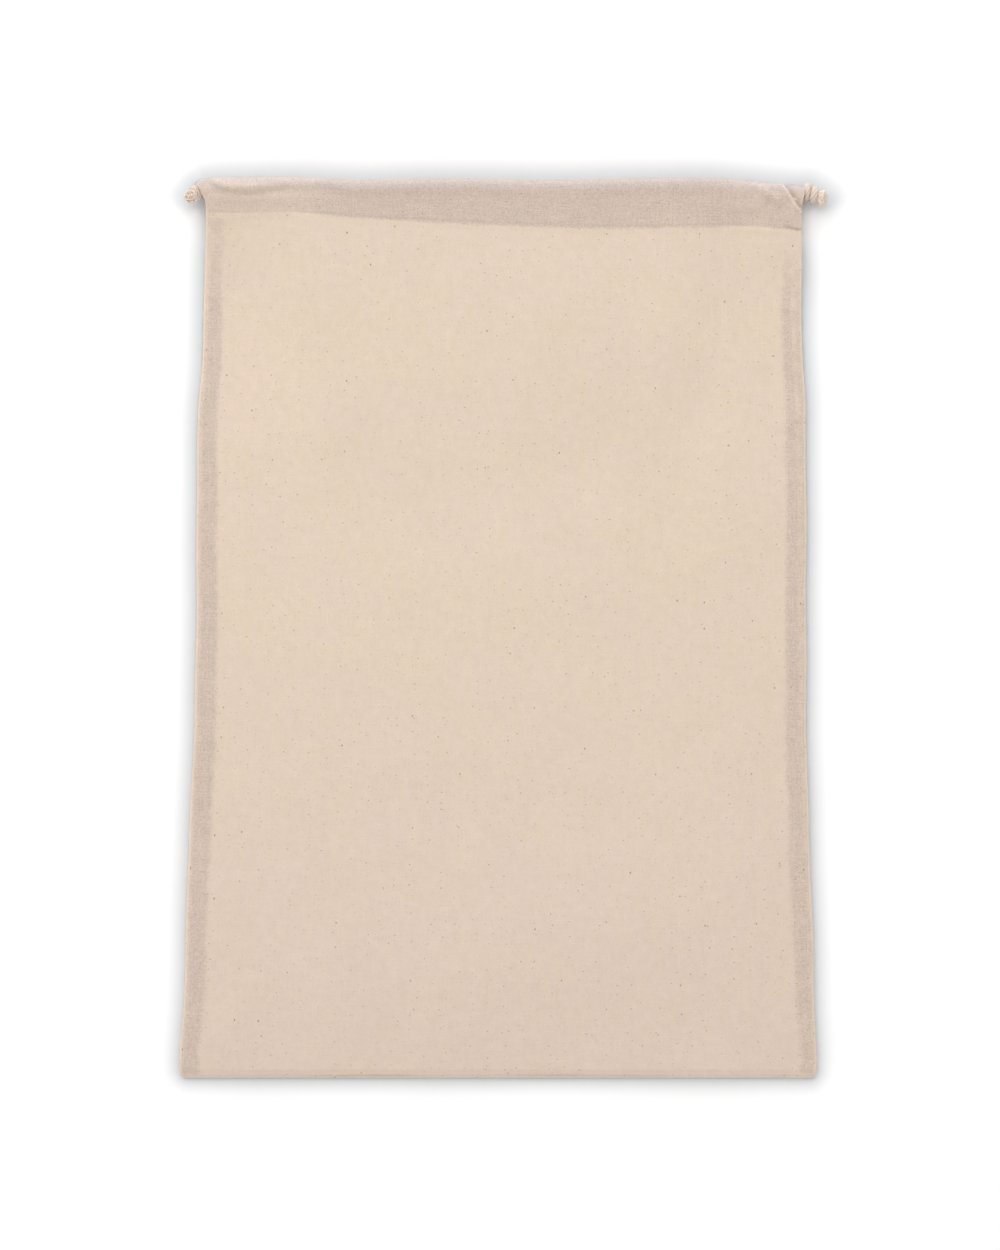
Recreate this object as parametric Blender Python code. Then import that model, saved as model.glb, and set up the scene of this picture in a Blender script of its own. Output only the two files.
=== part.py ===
"""Drawstring gift bag of unbleached calico, lying flat on its back.

Metres, +Z up. The back of the bag lies on z = 0, the mouth is towards +Y and
the origin is under the middle of the bag. The cloth is one length, folded at
the bottom, sewn up both sides and turned in at the mouth as a casing. Two
drawcords run round the casing, each tied off in a knot at its own side.
"""
import math
from collections import namedtuple

import bmesh
import bpy
from mathutils import Vector

# Cloth
CLOTH = 0.0010  # one layer
LAYER_GAP = 0.0004  # between layers that lie on each other
BOTTOM_Y = -0.2248  # the fold along the bottom
BOTTOM_RADIUS = (CLOTH + LAYER_GAP) / 2
BOTTOM_RISE = 0.006  # over which the front lifts from the bottom fold

# Side seams
SEAM_ALLOWANCE = 0.0100  # turned inside
SEAM_INSET = 0.0004  # the sewn line, in from the folded edge
SEAM_WIDTH = 0.0020  # how far the sewn line holds the layers together
ALLOWANCE_THICK = 0.0014  # both allowances, pressed
ALLOWANCE_CLEARANCE = 0.0003
SEAM_START = 0.0020  # the seam's end above the bottom fold
ALLOWANCE_START = 0.0080  # and its allowances' end
SEAM_STOP = 0.0030  # the seam ends under the casing's stitch line
SEAM_SECTIONS = 20
EDGE_SPREAD = 0.0020  # between the walls at the folded edge
SEAM_SPREAD = 0.0034  # between the walls over the allowances
EDGE_ROUND = 0.0030

# Drawcords
CORD_DIAMETER = 0.0034
CORD_CLEARANCE = 0.0004
CORD_STEP = 0.0085  # between the points of a cord's line
BIGHT_INSET = 0.0032  # from a casing's end to the middle line of the cord that turns there
BIGHT_STEPS = 8
CORD_ROUNDNESS = 2
CORD_COLUMN = {"left": "lower_cord", "right": "upper_cord"}  # which line under the edge a drawcord takes

# Casing
TUNNEL = CORD_DIAMETER + 2 * CORD_CLEARANCE + CLOTH  # layer to layer over the cords
CLOSED = CLOTH + LAYER_GAP  # layer to layer where no cord lies
CORD_ROOM = 0.0014  # the tunnel stays open this far under the lower cord's middle line
TUNNEL_CLOSING = 0.0060  # and closes over this
FOLD_MIDDLE = TUNNEL / 2 + CLOTH / 2  # of a top fold, under the top edge
HEM_TURN = 0.0020  # of the inner layer, past its stitch line
STITCH_WIDTH = 0.0020
INNER_SETBACK = 0.0075  # the inner layer stops short of the casing's open ends
MOUTH_GAPE = 0.0050  # between the two casings in the middle
MOUTH_SHUT = 0.0006  # and at the sides
GAPE_FULL = 0.078  # half the width over which the mouth gapes fully
GAPE_END = 0.132
CASING_DROP = 0.0026  # of the front casing from its cords to its stitch line, at the sides
CASING_DROP_MIDDLE = 0.0003

# Front of the bag
CROWN = 0.0009
WAVE = 0.00035
CREASE_WIDTH = 0.0011  # of the valley between the two cords of a casing
FALL_MIDDLE = 0.140  # over which the front comes down from the mouth
FALL_SIDE = 0.045

Side = namedtuple("Side", "y left right")
SIDES = [
    Side(-0.2248, -0.1578, 0.1562),
    Side(-0.2222, -0.1602, 0.1583),
    Side(-0.1900, -0.1585, 0.1575),
    Side(-0.1160, -0.1560, 0.1550),
    Side(-0.0660, -0.1535, 0.1537),
    Side(0.0090, -0.1520, 0.1530),
    Side(0.1090, -0.1510, 0.1530),
    Side(0.1340, -0.1492, 0.1516),
    Side(0.1840, -0.1475, 0.1505),
    Side(0.2100, -0.1467, 0.1506),
    Side(0.2150, -0.1473, 0.1515),
    Side(0.2210, -0.1490, 0.1517),
]

Mouth = namedtuple("Mouth", "x top stitch upper_cord lower_cord crease")
MOUTH = [  # cords are given by their depth under the top edge
    Mouth(-0.1490, 0.2230, 0.2070, 0.0040, 0.0080, 0.0002),
    Mouth(-0.1400, 0.2250, 0.2070, 0.0038, 0.0088, 0.0006),
    Mouth(-0.1050, 0.2252, 0.2070, 0.0032, 0.0092, 0.0008),
    Mouth(-0.0700, 0.2233, 0.2045, 0.0031, 0.0084, 0.0004),
    Mouth(-0.0350, 0.2242, 0.2025, 0.0031, 0.0078, 0.0001),
    Mouth(0.0000, 0.2238, 0.2008, 0.0031, 0.0078, 0.0000),
    Mouth(0.0300, 0.2233, 0.1998, 0.0031, 0.0078, 0.0000),
    Mouth(0.0600, 0.2240, 0.1993, 0.0031, 0.0078, 0.0000),
    Mouth(0.1050, 0.2248, 0.2002, 0.0031, 0.0078, 0.0001),
    Mouth(0.1250, 0.2233, 0.2000, 0.0031, 0.0080, 0.0004),
    Mouth(0.1400, 0.2218, 0.1990, 0.0031, 0.0082, 0.0002),
    Mouth(0.1500, 0.2212, 0.1985, 0.0031, 0.0082, 0.0000),
]

# How the cloth is divided: shares of the way down a casing and down a panel
CASING_STEPS = (0.0, 0.12, 0.24, 0.36, 0.50, 0.66, 0.82, 1.0)
BACK_CASING_STEPS = (0.0, 0.50, 1.0)
PAST_STITCH = 1.1  # any share over 1 is the hem's end
FRONT_STEPS = (0.04, 0.10, 0.17, 0.25, 0.33, 0.42, 0.51, 0.60, 0.69, 0.78, 0.86, 0.93, 0.97, 0.985, 1.0)
BACK_STEPS = (0.12, 0.29, 0.46, 0.63, 0.80, 0.93, 1.0)
COLUMNS = 25
TURN_STEPS = 6  # of a top fold
SHARP_ANGLE = 50.0
BOTTOM_STEPS = 4  # of the bottom fold

Knot = namedtuple("Knot", "name x y heading bend lift size")
KNOTS = [  # angles in degrees: the start, and the turn to the side and upwards on the way to the cut ends
    Knot("knot_left", -0.1500, 0.2184, 180.0, 60.0, 78.0, 0.64),
    Knot("knot_right", 0.1526, 0.2178, -4.0, -26.0, 4.0, 0.84),
]
KnotRing = namedtuple("KnotRing", "along radius")
KNOT_RINGS = [  # two wraps with a groove between them
    KnotRing(0.0000, 0.0046),
    KnotRing(0.0010, 0.0050),
    KnotRing(0.0024, 0.0051),
    KnotRing(0.0036, 0.0049),
    KnotRing(0.0044, 0.0043),
    KnotRing(0.0052, 0.0048),
    KnotRing(0.0066, 0.0050),
    KnotRing(0.0080, 0.0045),
    KnotRing(0.0090, 0.0034),
]
KNOT_SIDES = 14
KNOT_LINE_STEPS = 24
TAIL_LENGTH = 0.0135  # from the knot's start to the cords' cut ends
TAIL_START = 0.0070
TAIL_SPREAD = 0.0021
TAIL_RADIUS = 0.0019
TAIL_SIDES = 10
CORD_END_GAP = 0.0005  # between a drawcord and its knot


def ease(share):
    """0 to 1 with a level start and end."""
    share = min(max(share, 0.0), 1.0)
    return share * share * (3 - 2 * share)


def read(table, key, value, at):
    """A smooth curve through one column of a table, level past its ends."""
    keys = [getattr(row, key) for row in table]
    values = [getattr(row, value) for row in table]
    if at <= keys[0]:
        return values[0]
    if at >= keys[-1]:
        return values[-1]
    i = max(n for n, k in enumerate(keys[:-1]) if k <= at)
    slopes = []
    for n in (i, i + 1):
        before = max(n - 1, 0)
        after = min(n + 1, len(keys) - 1)
        slopes.append((values[after] - values[before]) / (keys[after] - keys[before]))
    width = keys[i + 1] - keys[i]
    t = (at - keys[i]) / width
    start = values[i] * (1 + 2 * t) * (1 - t) ** 2 + slopes[0] * width * t * (1 - t) ** 2
    end = values[i + 1] * t * t * (3 - 2 * t) + slopes[1] * width * t * t * (t - 1)
    return start + end


def top_edge(x):
    return read(MOUTH, "x", "top", x)


def stitch_line(x):
    return read(MOUTH, "x", "stitch", x)


def gape(x):
    """1 where the mouth stands open, 0 at the sides."""
    return ease((GAPE_END - abs(x)) / (GAPE_END - GAPE_FULL))


def tunnel_spread(x, depth):
    """Between the two layers of a casing, at a depth under the top edge."""
    cord_end = read(MOUTH, "x", "lower_cord", x) + CORD_ROOM
    closing = ease((depth - cord_end) / TUNNEL_CLOSING)
    return TUNNEL + (CLOSED - TUNNEL) * closing


def valley(x, depth):
    """How far the cloth sinks between the two cords of a casing."""
    middle = (read(MOUTH, "x", "upper_cord", x) + read(MOUTH, "x", "lower_cord", x)) / 2
    return read(MOUTH, "x", "crease", x) * math.exp(-((depth - middle) / CREASE_WIDTH) ** 2)


def back_inner(x, depth):
    return CLOTH / 2 + tunnel_spread(x, depth)


def front_inner(x, depth):
    level = CLOTH / 2 + TUNNEL + CLOTH + MOUTH_SHUT + (MOUTH_GAPE - MOUTH_SHUT) * gape(x)
    drop = CASING_DROP + (CASING_DROP_MIDDLE - CASING_DROP) * gape(x)
    casing = top_edge(x) - stitch_line(x)
    cord_end = read(MOUTH, "x", "lower_cord", x)
    return level - drop * ease((depth - cord_end) / (casing - cord_end))


def front_outer(x, depth):
    return front_inner(x, depth) + tunnel_spread(x, depth) - valley(x, depth)


def side_edges(y):
    return read(SIDES, "y", "left", y), read(SIDES, "y", "right", y)


def from_side(x, y):
    """Distance in from the nearer side edge."""
    left, right = side_edges(y)
    return min(x - left, right - x)


def wave(x, y):
    """Slow unevenness of a cloth that has been folded before."""
    across = math.sin(2 * math.pi * (x / 0.121 + y / 0.39) + 0.6)
    along = math.sin(2 * math.pi * (y / 0.147 - x / 0.33) + 1.9)
    return WAVE * (across + along)


def front_wall(x, y):
    """Height of the middle of the front layer, under the casing."""
    spread = EDGE_SPREAD + (SEAM_SPREAD - EDGE_SPREAD) * ease(from_side(x, y) / EDGE_ROUND)
    inside = ease((from_side(x, y) - SEAM_ALLOWANCE) / 0.04)
    spread += inside * (CROWN + wave(x, y))
    lift = ease((y - BOTTOM_Y - CLOTH / 2 - BOTTOM_RADIUS) / BOTTOM_RISE)
    body = CLOTH / 2 + CLOSED + (spread - CLOSED) * lift
    casing = top_edge(x) - stitch_line(x)
    fall = FALL_SIDE + (FALL_MIDDLE - FALL_SIDE) * gape(x)
    near_mouth = 1 - ease((stitch_line(x) - y) / fall)
    return body + (front_outer(x, casing) - body) * near_mouth


def casing_y(x, share):
    """From the middle of the top fold, at 0, down to the stitch line, at 1."""
    top = top_edge(x) - FOLD_MIDDLE
    return top + (stitch_line(x) - top) * share


def panel_y(x, share):
    """From the stitch line, at 0, down to the bottom fold, at 1."""
    bottom = BOTTOM_Y + CLOTH / 2 + BOTTOM_RADIUS
    return stitch_line(x) + (bottom - stitch_line(x)) * share


def hem_y(x, share):
    """As casing_y, with the layer running on past its stitch line after 1."""
    return stitch_line(x) - HEM_TURN if share > 1 else casing_y(x, share)


def front_turned(x, share):
    y = hem_y(x, share)
    return y, front_inner(x, min(top_edge(x) - y, top_edge(x) - stitch_line(x)))


def front_fold(x, share):
    """From the outer layer, at 0, over the edge of the mouth to the turned-in layer, at 1."""
    angle = math.pi * share
    y = top_edge(x) - FOLD_MIDDLE + TUNNEL / 2 * math.sin(angle)
    return y, front_inner(x, 0.0) + TUNNEL / 2 + TUNNEL / 2 * math.cos(angle)


def front_casing(x, share):
    y = casing_y(x, share)
    return y, front_outer(x, top_edge(x) - y)


def front_panel(x, share):
    y = panel_y(x, share)
    return y, front_wall(x, y)


def bottom_fold(x, share):
    angle = math.pi * share
    y = BOTTOM_Y + CLOTH / 2 + BOTTOM_RADIUS * (1 - math.sin(angle))
    return y, CLOTH / 2 + BOTTOM_RADIUS * (1 + math.cos(angle))


def back_panel(x, share):
    return panel_y(x, share), CLOTH / 2


def back_casing(x, share):
    return casing_y(x, share), CLOTH / 2


def back_fold(x, share):
    """From the outer layer, at 0, over the edge of the mouth to the turned-in layer, at 1."""
    angle = math.pi * share
    y = top_edge(x) - FOLD_MIDDLE + TUNNEL / 2 * math.sin(angle)
    return y, CLOTH / 2 + TUNNEL / 2 * (1 - math.cos(angle))


def back_turned(x, share):
    y = hem_y(x, share)
    return y, back_inner(x, top_edge(x) - y)


def cloth_rows():
    """Each row of the cloth, from the front hem over the front, the bottom and the back to the back hem."""
    turned = CASING_STEPS + (PAST_STITCH,)
    turns = [step / TURN_STEPS for step in range(1, TURN_STEPS)]
    bottom = [step / BOTTOM_STEPS for step in range(1, BOTTOM_STEPS)]
    rows = [(front_turned, share, INNER_SETBACK) for share in reversed(turned)]
    rows += [(front_fold, share, INNER_SETBACK * ease(share)) for share in reversed(turns)]
    rows += [(front_casing, share, 0.0) for share in CASING_STEPS]
    rows += [(front_panel, share, 0.0) for share in FRONT_STEPS]
    rows += [(bottom_fold, share, 0.0) for share in bottom]
    rows += [(back_panel, share, 0.0) for share in reversed(BACK_STEPS)]
    rows += [(back_casing, share, 0.0) for share in reversed(BACK_CASING_STEPS)]
    rows += [(back_fold, share, INNER_SETBACK * ease(share)) for share in turns]
    rows += [(back_turned, share, INNER_SETBACK) for share in turned]
    return rows


def place_on_cloth(row, across):
    """A point of the cloth's middle surface; `across` runs from -1 at the left edge to 1."""
    place, share, setback = row
    column = (1 + math.sin(math.pi / 2 * across)) / 2  # columns are closer together towards the seams
    y, _ = place(0.0, share)
    for _ in range(3):  # the edges lean, so the place across and the height on the bag settle together
        left, right = side_edges(y)
        x = left + setback + (right - left - 2 * setback) * column
        y, z = place(x, share)
    return Vector((x, y, z))


def new_object(name, shape, material):
    made = bpy.data.objects.new(name, shape)
    bpy.context.collection.objects.link(made)
    shape.materials.append(material)
    return made


def mesh_from(name, bm):
    bmesh.ops.recalc_face_normals(bm, faces=bm.faces)
    mesh = bpy.data.meshes.new(name)
    bm.to_mesh(mesh)
    bm.free()
    mesh.shade_smooth()
    mesh.set_sharp_from_angle(angle=math.radians(SHARP_ANGLE))
    return mesh


def cloth_sheet(material):
    """The whole length of cloth as one surface, given its thickness by Solidify."""
    rows = cloth_rows()
    bm = bmesh.new()
    bmesh.ops.create_grid(bm, x_segments=COLUMNS, y_segments=len(rows) - 1, size=1.0)
    for vert in bm.verts:
        row = rows[round((vert.co.y + 1) / 2 * (len(rows) - 1))]
        vert.co = place_on_cloth(row, vert.co.x)
    sheet = new_object("bag_cloth", mesh_from("bag_cloth", bm), material)
    wall = sheet.modifiers.new("Cloth thickness", "SOLIDIFY")
    wall.thickness = CLOTH
    wall.offset = 0.0
    wall.use_even_offset = True
    return sheet


def lofted(name, sections):
    """A closed bar through a row of like sections."""
    bm = bmesh.new()
    loops = []
    for section in sections:
        ring = [bm.verts.new(point) for point in section]
        loops.append([bm.edges.new((ring[i - 1], ring[i])) for i in range(len(ring))])
    for near, far in zip(loops, loops[1:]):
        bmesh.ops.bridge_loops(bm, edges=near + far)
    for end in (loops[0], loops[-1]):
        bmesh.ops.edgeloop_fill(bm, edges=end)
    return mesh_from(name, bm)


def sewn_to(target, name, mesh, material):
    """Joins a bar into the cloth, as one piece with it."""
    bar = new_object(name, mesh, material)
    bar.hide_render = True
    bar.display_type = "WIRE"
    union = target.modifiers.new(name, "BOOLEAN")
    union.operation = "UNION"
    union.solver = "EXACT"
    union.object = bar
    return bar


def seam_bar(name, side, reach, heights, start):
    """A bar that runs up a side seam; `reach` is its span in from the edge, `heights` its span in Z."""
    sections = []
    bottom = BOTTOM_Y + start
    top = stitch_line(side * GAPE_END) - SEAM_STOP
    for step in range(SEAM_SECTIONS + 1):
        y = bottom + (top - bottom) * step / SEAM_SECTIONS
        left, right = side_edges(y)
        edge = left if side < 0 else right
        near = edge - side * reach[0]
        far = edge - side * reach[1]
        corners = [(near, 0), (far, 0), (far, 1), (near, 1)]
        sections.append([(x, y, heights(x, y)[level]) for x, level in corners])
    return lofted(name, sections)


def side_seam(sheet, side, material):
    """The walls sewn together along one edge, with both allowances turned in between them."""
    word = "left" if side < 0 else "right"
    low = CLOTH + ALLOWANCE_CLEARANCE

    def sewn(x, y):
        return CLOTH / 2, front_wall(x, y)

    def pressed(x, y):
        return low, low + ALLOWANCE_THICK

    line = seam_bar(f"seam_{word}", side, (SEAM_INSET, SEAM_INSET + SEAM_WIDTH), sewn, SEAM_START)
    sewn_to(sheet, f"seam_{word}", line, material)
    reach = (SEAM_INSET + SEAM_WIDTH / 2, SEAM_ALLOWANCE)
    allowance = seam_bar(f"allowance_{word}", side, reach, pressed, ALLOWANCE_START)
    sewn_to(sheet, f"allowance_{word}", allowance, material)


def casing_seam(sheet, name, lower_layer, material):
    """The line between a turned-in layer and its panel; `lower_layer` gives the lower one's height."""
    bm = bmesh.new()
    bmesh.ops.create_grid(bm, x_segments=COLUMNS, y_segments=1, size=1.0)
    for vert in bm.verts:
        raised = STITCH_WIDTH / 2 * (1 + vert.co.y)
        x, y, _ = place_on_cloth((back_turned, 1.0, INNER_SETBACK), vert.co.x)
        y += raised
        vert.co = (x, y, lower_layer(x, top_edge(x) - y) + CLOSED / 2)
    bar = sewn_to(sheet, name, mesh_from(name, bm), material)
    height = bar.modifiers.new("Stitch height", "SOLIDIFY")
    height.thickness = CLOSED
    height.offset = 0.0


def back_outer(x, depth):
    return CLOTH / 2


def bag_cloth(material):
    sheet = cloth_sheet(material)
    for side in (-1, 1):
        side_seam(sheet, side, material)
    casing_seam(sheet, "front_stitch", front_inner, material)
    casing_seam(sheet, "back_stitch", back_outer, material)


def cord_route(word):
    """Along the front casing to the far side, round into the back casing and back again."""
    side = -1 if word == "left" else 1
    column = CORD_COLUMN[word]
    knot = next(knot for knot in KNOTS if knot.name == f"knot_{word}")
    own_end = knot.x - side * CORD_END_GAP

    def cord_y(x):
        return top_edge(x) - read(MOUTH, "x", column, x)

    def front_z(x):
        return front_inner(x, 0.0) + TUNNEL / 2

    back_z = CLOTH / 2 + TUNNEL / 2
    left, right = side_edges(top_edge(0.0))
    far_edge = right if side < 0 else left
    far_x = far_edge + side * BIGHT_INSET
    radius = (front_z(far_x) - back_z) / 2
    turn_x = far_x + side * radius
    steps = round(abs(turn_x - own_end) / CORD_STEP)
    along = [own_end + (turn_x - own_end) * step / steps for step in range(steps + 1)]
    route = [Vector((x, cord_y(x), front_z(x))) for x in along]
    for step in range(1, BIGHT_STEPS):
        angle = math.pi * step / BIGHT_STEPS
        x = turn_x - side * radius * math.sin(angle)
        route.append(Vector((x, cord_y(turn_x), back_z + radius * (1 + math.cos(angle)))))
    route += [Vector((x, cord_y(x), back_z)) for x in reversed(along)]
    return route


def drawcord(word, material):
    """Half of the drawstring: a soft cord through both casings, with both its ends on one side."""
    name = f"drawcord_{word}"
    curve = bpy.data.curves.new(name, "CURVE")
    curve.dimensions = "3D"
    curve.bevel_depth = CORD_DIAMETER / 2
    curve.bevel_resolution = CORD_ROUNDNESS
    curve.use_fill_caps = True
    points = cord_route(word)
    spline = curve.splines.new("POLY")
    spline.points.add(len(points) - 1)
    for point, place in zip(spline.points, points):
        point.co = (*place, 1.0)
    new_object(name, curve, material)


def knot_frame(knot, along):
    """The place on a knot's bending middle line, with the line's sideways and upright directions."""
    height = (CLOTH / 2 + TUNNEL / 2 + front_inner(knot.x, 0.0) + TUNNEL / 2) / 2
    place = Vector((knot.x, knot.y, height))
    for step in range(KNOT_LINE_STEPS + 1):
        share = step / KNOT_LINE_STEPS * along / TAIL_LENGTH
        heading = math.radians(knot.heading + knot.bend * share)
        lift = math.radians(knot.lift * share)
        level = Vector((math.cos(heading), math.sin(heading), 0.0))
        forward = level * math.cos(lift) + Vector((0.0, 0.0, math.sin(lift)))
        if step < KNOT_LINE_STEPS:
            place += forward * knot.size * along / KNOT_LINE_STEPS
    across = Vector((-math.sin(heading), math.cos(heading), 0.0))
    return place, across, forward.cross(across)


def ring(middle, across, upright, radius, sides):
    angles = [2 * math.pi * side / sides for side in range(sides)]
    return [middle + radius * (across * math.cos(a) + upright * math.sin(a)) for a in angles]


def drawcord_knot(knot, material):
    """Both ends of a drawcord in one knot: two wraps, and the cut ends standing out of it."""
    sections = []
    for part in KNOT_RINGS:
        sections.append(ring(*knot_frame(knot, part.along), part.radius, KNOT_SIDES))
    body = new_object(knot.name, lofted(knot.name, sections), material)
    for side in (-1, 1):
        tail = []
        for along in (TAIL_START, (TAIL_START + TAIL_LENGTH) / 2, TAIL_LENGTH):
            middle, across, upright = knot_frame(knot, along)
            middle += across * side * TAIL_SPREAD
            tail.append(ring(middle, across, upright, TAIL_RADIUS, TAIL_SIDES))
        name = f"{knot.name}_tail_{'upper' if side > 0 else 'lower'}"
        sewn_to(body, name, lofted(name, tail), material)


def cloth_material(name, colour, roughness):
    material = bpy.data.materials.new(name)
    material.use_nodes = True
    shader = material.node_tree.nodes["Principled BSDF"]
    shader.inputs["Base Color"].default_value = (*colour, 1.0)
    shader.inputs["Roughness"].default_value = roughness
    shader.inputs["Metallic"].default_value = 0.0
    return material


def main():
    for item in list(bpy.data.objects):
        bpy.data.objects.remove(item)
    calico = cloth_material("calico", (0.74, 0.61, 0.48), 0.92)
    cord = cloth_material("cotton_cord", (0.76, 0.63, 0.52), 0.95)
    knotted = cloth_material("cotton_cord_knotted", (0.74, 0.60, 0.47), 0.95)
    bag_cloth(calico)
    for word in CORD_COLUMN:
        drawcord(word, cord)
    for knot in KNOTS:
        drawcord_knot(knot, knotted)


main()
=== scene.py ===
import math
import random

import bmesh
import bpy
import numpy as np
from mathutils import Matrix, Vector
from mathutils.kdtree import KDTree


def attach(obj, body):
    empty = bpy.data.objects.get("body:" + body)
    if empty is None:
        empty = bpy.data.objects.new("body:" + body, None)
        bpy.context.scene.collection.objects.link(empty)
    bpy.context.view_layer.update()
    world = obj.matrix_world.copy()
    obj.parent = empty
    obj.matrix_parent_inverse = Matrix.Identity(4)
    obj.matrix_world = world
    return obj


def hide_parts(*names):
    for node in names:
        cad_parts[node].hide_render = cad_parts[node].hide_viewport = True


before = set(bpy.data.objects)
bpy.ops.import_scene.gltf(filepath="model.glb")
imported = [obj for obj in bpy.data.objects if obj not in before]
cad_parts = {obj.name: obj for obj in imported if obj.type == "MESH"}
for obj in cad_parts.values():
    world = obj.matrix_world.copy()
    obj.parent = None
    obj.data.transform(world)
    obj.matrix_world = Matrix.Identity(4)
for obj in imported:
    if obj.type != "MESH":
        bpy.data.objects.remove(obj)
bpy.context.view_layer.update()  # the solid model, which stays as it is
scene = bpy.context.scene


# small helpers

def ease(share):  # 0 to 1 with a level start and end
    share = np.clip(share, 0.0, 1.0)
    return share * share * (3 - 2 * share)


def blend(first, second, share):
    return first + (second - first) * share


def rise(value, start, length):  # 0 up to the start, 1 past the length
    return ease((value - start) / length)


def stepped(value, first, *changes):  # a level, then what each place adds over a length
    return first + sum(more * rise(value, place, length) for more, place, length in changes)


def bell(distance, width):  # 1 on a line, fading away beside it
    return np.exp(-((distance / width) ** 2))


def rolling(x, y, waves):  # slanting waves: lengths along x and y, where each starts
    return sum(np.sin(x / across + y / along + start) for across, along, start in waves)


def through(table, column):  # a smooth curve through a column of a table in mm, level past its ends
    keys, values = (np.array(table)[:, n] / 1000 for n in (0, column))
    last = len(keys) - 1
    before = np.maximum(np.arange(last + 1) - 1, 0)
    after = np.minimum(np.arange(last + 1) + 1, last)
    slopes = (values[after] - values[before]) / (keys[after] - keys[before])

    def at(place):
        n = np.clip(np.searchsorted(keys, place, side="right") - 1, 0, last - 1)
        width = keys[n + 1] - keys[n]
        t = np.clip((place - keys[n]) / width, 0.0, 1.0)
        start = values[n] * (1 + 2 * t) * (1 - t) ** 2 + slopes[n] * width * t * (1 - t) ** 2
        return start + values[n + 1] * t * t * (3 - 2 * t) + slopes[n + 1] * width * t * t * (t - 1)

    return at


def travelled(points):  # the way along a line up to each of its points
    return np.concatenate([[0.0], np.cumsum(np.linalg.norm(np.diff(points, axis=0), axis=1))])


def spaced(count, spacing):  # shares from 0 to 1, closer together where spacing(share) is small
    fine = np.linspace(0.0, 1.0, 4000)
    passed = np.cumsum(1 / spacing(fine))
    passed = (passed - passed[0]) / (passed[-1] - passed[0])
    return np.interp(np.linspace(0.0, 1.0, count), passed, fine)


def addObject(name, data, finish=None):
    made = bpy.data.objects.new(name, data)
    scene.collection.objects.link(made)
    if finish:
        data.materials.append(finish)
    return made


def meshObject(name, bm, finish=None):
    mesh = bpy.data.meshes.new(name)
    bm.to_mesh(mesh)
    bm.free()
    mesh.shade_smooth()
    return addObject(name, mesh, finish)


def curveMesh(name, curve):  # the finished curve as a mesh of its own
    line = addObject(name + "Line", curve)
    finished = line.evaluated_get(bpy.context.evaluated_depsgraph_get())
    shape = bpy.data.meshes.new_from_object(finished)
    bpy.data.objects.remove(line)
    bpy.data.curves.remove(curve)
    bm = bmesh.new()
    bm.from_mesh(shape)
    bmesh.ops.remove_doubles(bm, verts=bm.verts, dist=1e-6)  # a curve's caps come loose from its sides
    bmesh.ops.recalc_face_normals(bm, faces=bm.faces)
    bm.to_mesh(shape)
    bm.free()
    shape.name = name
    shape.materials.clear()
    shape.shade_smooth()
    return addObject(name, shape)


class Wire:  # one output of a node, so that a pattern reads as plain sums
    def __init__(self, board, socket):
        self.board = board
        self.socket = socket

    def math(self, operation, *values):
        return self.board.add("ShaderNodeMath", {"operation": operation}, dict(enumerate(values)))

    def __add__(self, other):
        return self.math("ADD", self, other)

    def __sub__(self, other):
        return self.math("SUBTRACT", self, other)

    def __rsub__(self, other):
        return self.math("SUBTRACT", other, self)

    def __mul__(self, other):
        return self.math("MULTIPLY", self, other)

    def __lt__(self, other):
        return self.math("LESS_THAN", self, other)

    __radd__ = __add__
    __rmul__ = __mul__

    def sine(self):
        return self.math("SINE", self)

    def size(self):
        return self.math("ABSOLUTE", self)


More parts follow.
